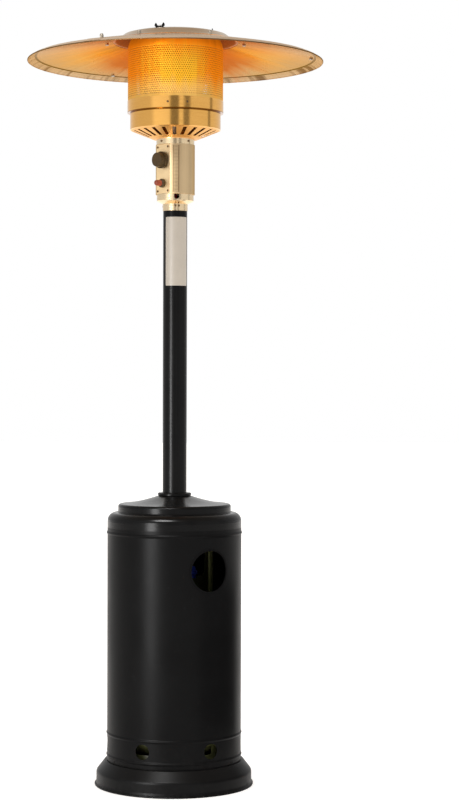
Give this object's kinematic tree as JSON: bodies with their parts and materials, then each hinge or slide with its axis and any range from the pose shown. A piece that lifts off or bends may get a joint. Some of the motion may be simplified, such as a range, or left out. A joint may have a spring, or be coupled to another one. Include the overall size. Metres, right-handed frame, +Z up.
{
  "type": "gas patio heater",
  "caption": "Outdoor gas heater: a bottle under a lift-up tank housing feeds a burner head on a post, with a glowing emitter under a round dish reflector.",
  "frame": {"origin": "on the floor, on the axis of the post", "axes": "+Z up along the post, the front faces -Y, +X to the right of a viewer in front"},
  "size_m": [0.8098, 0.81, 2.0729],
  "materials": {
    "base_paint": "satin black powder coat",
    "frame_paint": "satin black powder coat",
    "housing_paint": "satin black powder coat",
    "post_paint": "satin black powder coat",
    "trim_rubber": "matt edge trim",
    "bottle_paint": "semi-gloss olive paint",
    "brass": "machined",
    "wheel_plastic": "moulded blue",
    "regulator_paint": "blue enamel",
    "hose_rubber": "smooth red rubber",
    "plated_steel": "zinc plated",
    "neck_steel": "bright drawn sheet",
    "shell_metal": "brushed, warm tone",
    "panel_metal": "fine brushed",
    "knob_plastic": "dark moulded",
    "igniter_plastic": "dark moulded",
    "button_plastic": "moulded red",
    "pan_metal": "polished, gold tone",
    "burner_steel": "heat tinted",
    "electrode_ceramic": "white insulator",
    "reflector_metal": "bright rolled sheet",
    "emitter": "glowing perforated sheet"
  },
  "bodies": {
    "heater": {"base_shell": "base_paint", "left_leg": "frame_paint", "right_leg": "frame_paint", "rear_leg": "frame_paint", "leg_feet": "frame_paint", "hub_plate": "frame_paint", "post_flange": "frame_paint", "post": "post_paint", "gas_bottle": "bottle_paint", "foot_ring": "bottle_paint", "valve_guard": "bottle_paint", "bottle_valve": "brass", "valve_cap": "brass", "union_nut": "brass", "gas_valve": "brass", "feed_pipe": "brass", "jet": "brass", "pilot_burner": "brass", "regulator": "regulator_paint", "gas_hose": "hose_rubber", "hose_ferrules": "plated_steel", "foot_bolts": "plated_steel", "flange_bolts": "plated_steel", "neck_screws": "plated_steel", "panel_screws": "plated_steel", "band_screws": "plated_steel", "tilt_bracket": "plated_steel", "tilt_pin": "plated_steel", "pilot_arm": "plated_steel", "studs": "plated_steel", "spacers": "plated_steel", "wing_nuts": "plated_steel", "seam_bolts": "plated_steel", "head_neck": "neck_steel", "top_collar": "neck_steel", "control_shell": "shell_metal", "control_panel": "panel_metal", "igniter_body": "igniter_plastic", "igniter_bezel": "igniter_plastic", "burner_pan": "pan_metal", "emitter_band": "pan_metal", "emitter_top": "pan_metal", "burner": "burner_steel", "thermocouple": "burner_steel", "spark_electrode": "electrode_ceramic", "reflector_dome": "reflector_metal", "segment_right": "reflector_metal", "segment_rear": "reflector_metal", "segment_left": "reflector_metal", "emitter_screen": "emitter"},
    "housing": {"tank_housing": "housing_paint", "housing_lid": "housing_paint", "post_collar": "housing_paint", "hand_hole_trim": "trim_rubber"},
    "wheel": {"handwheel": "wheel_plastic"},
    "plunger": {"valve_plunger": "brass"},
    "knob": {"valve_stem": "plated_steel", "control_knob": "knob_plastic"},
    "igniter": {"igniter_button": "button_plastic"},
    "tilt": {"tilt_weight": "brass"}
  },
  "joints": [
    {"name": "housing_lift", "type": "slide", "parent": "heater", "child": "housing", "axis": [0, 0, 1], "range_m": [0, 0.7]},
    {"name": "handwheel_turn", "type": "hinge", "parent": "heater", "child": "wheel", "pos_m": [0, -0.047, 0.59], "axis": [0, -1, 0], "range_deg": [-720, 0]},
    {"name": "knob_push", "type": "slide", "parent": "heater", "child": "plunger", "axis": [0.7193, 0.6947, 0], "range_m": [0, 0.004], "stiffness_N_per_m": 900},
    {"name": "knob_turn", "type": "hinge", "parent": "plunger", "child": "knob", "pos_m": [-0.03597, -0.03473, 1.70864], "axis": [-0.7193, -0.6947, 0], "range_deg": [-210, 0]},
    {"name": "igniter_press", "type": "slide", "parent": "heater", "child": "igniter", "axis": [0.7193, 0.6947, 0], "range_m": [0, 0.006], "stiffness_N_per_m": 1200},
    {"name": "tilt_swing", "type": "hinge", "parent": "heater", "child": "tilt", "pos_m": [0.02158, 0.02084, 1.66344], "axis": [-0.6947, 0.7193, 0], "range_deg": [-12, 12]}
  ]
}
